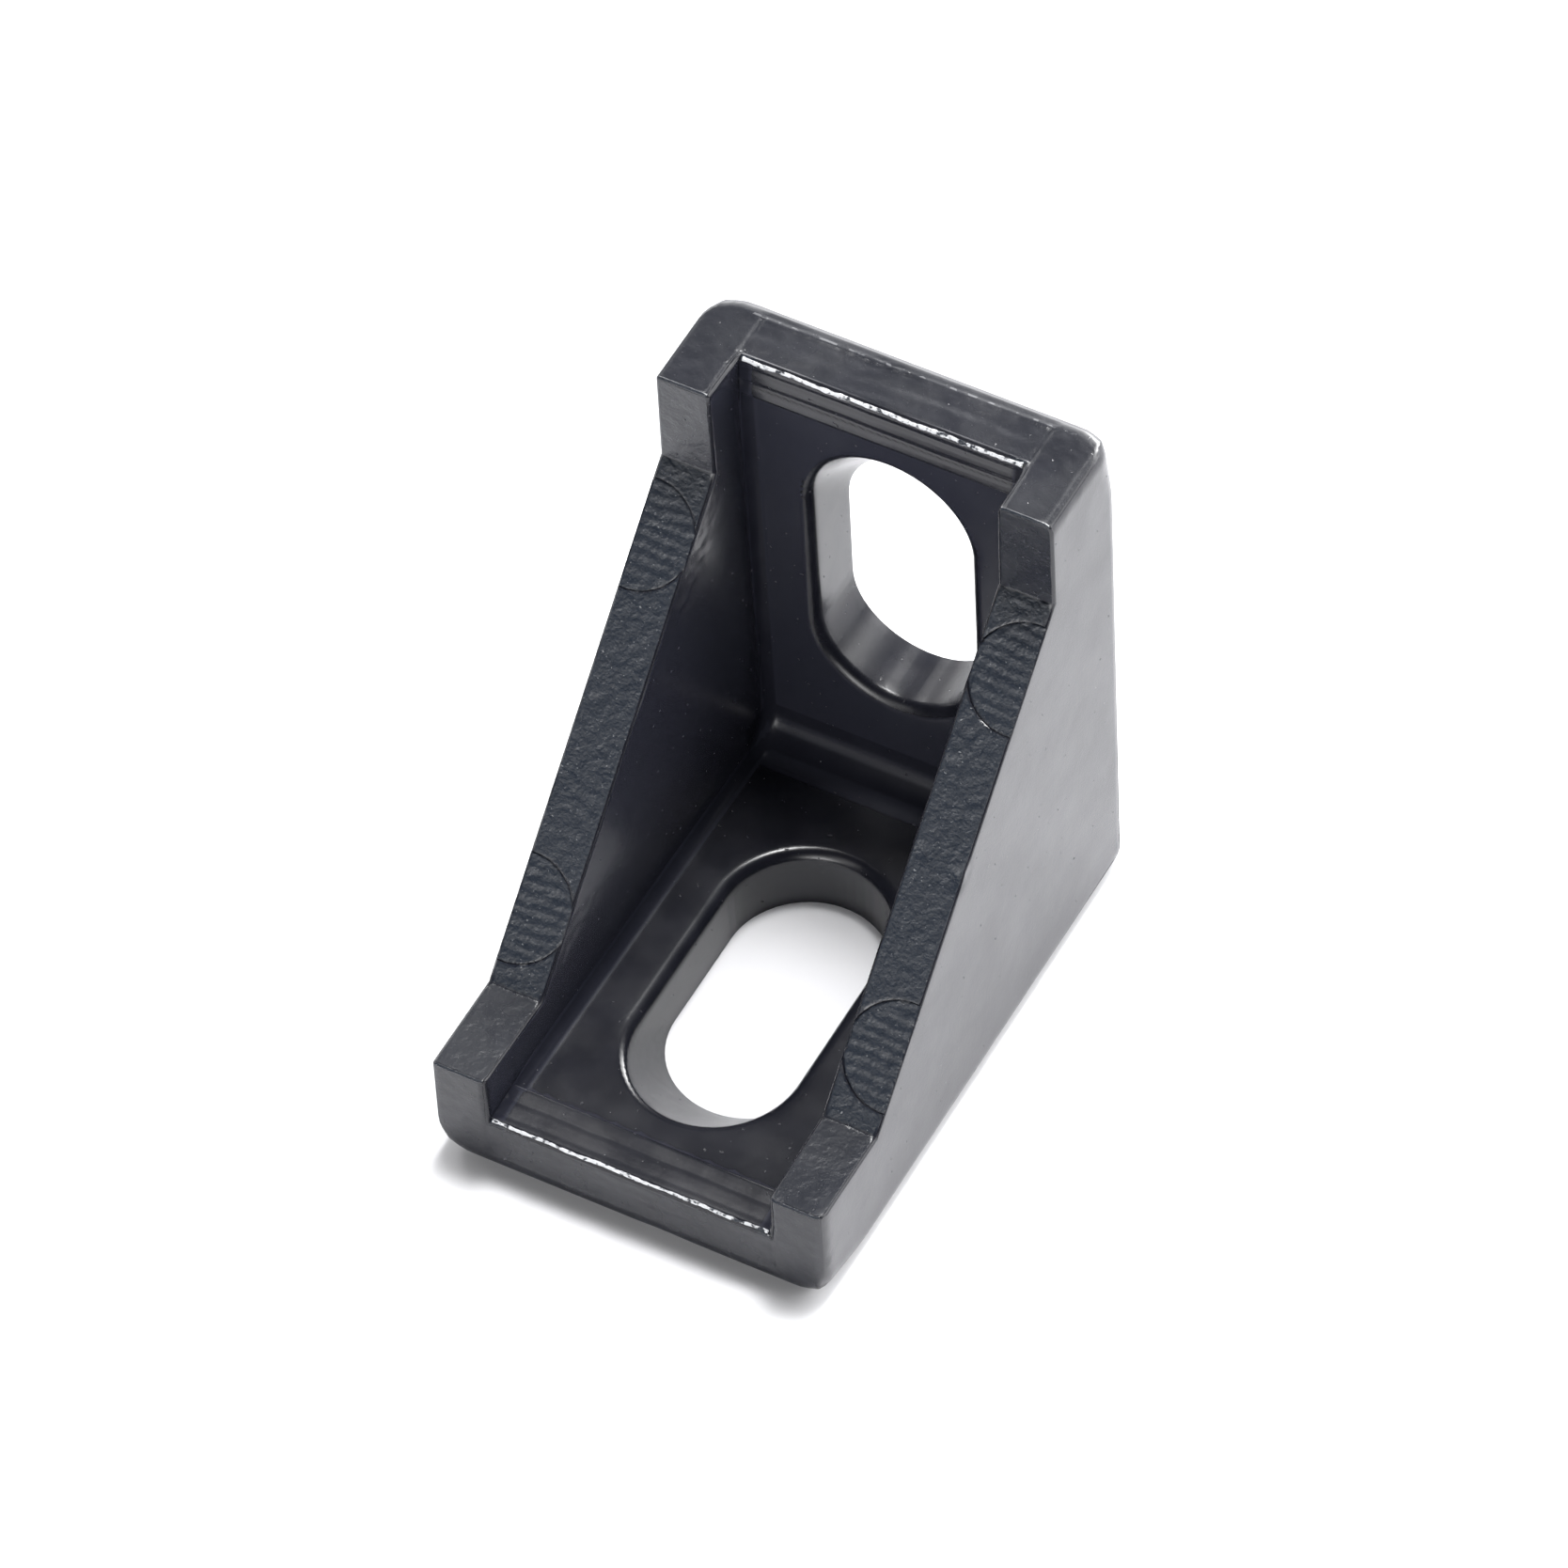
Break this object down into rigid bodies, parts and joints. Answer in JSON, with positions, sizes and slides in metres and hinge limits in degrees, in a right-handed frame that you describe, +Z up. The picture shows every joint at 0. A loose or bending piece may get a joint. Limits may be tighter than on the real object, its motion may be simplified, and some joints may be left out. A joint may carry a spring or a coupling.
{
  "type": "t slot corner bracket",
  "caption": "Cast corner bracket that joins two T slot profiles at a right angle: slotted legs, side cheeks with ears at the tips, black finish.",
  "frame": {"origin": "middle of the base leg's footprint, on its mating face", "axes": "+Z up along the back leg; +Y towards the back leg's mating face, away from the base leg's tip; X across the width"},
  "size_m": [0.019, 0.028, 0.028],
  "materials": {
    "coated_casting": "semi-gloss"
  },
  "bodies": {
    "root": {"corner_bracket": "coated_casting"}
  },
  "joints": []
}
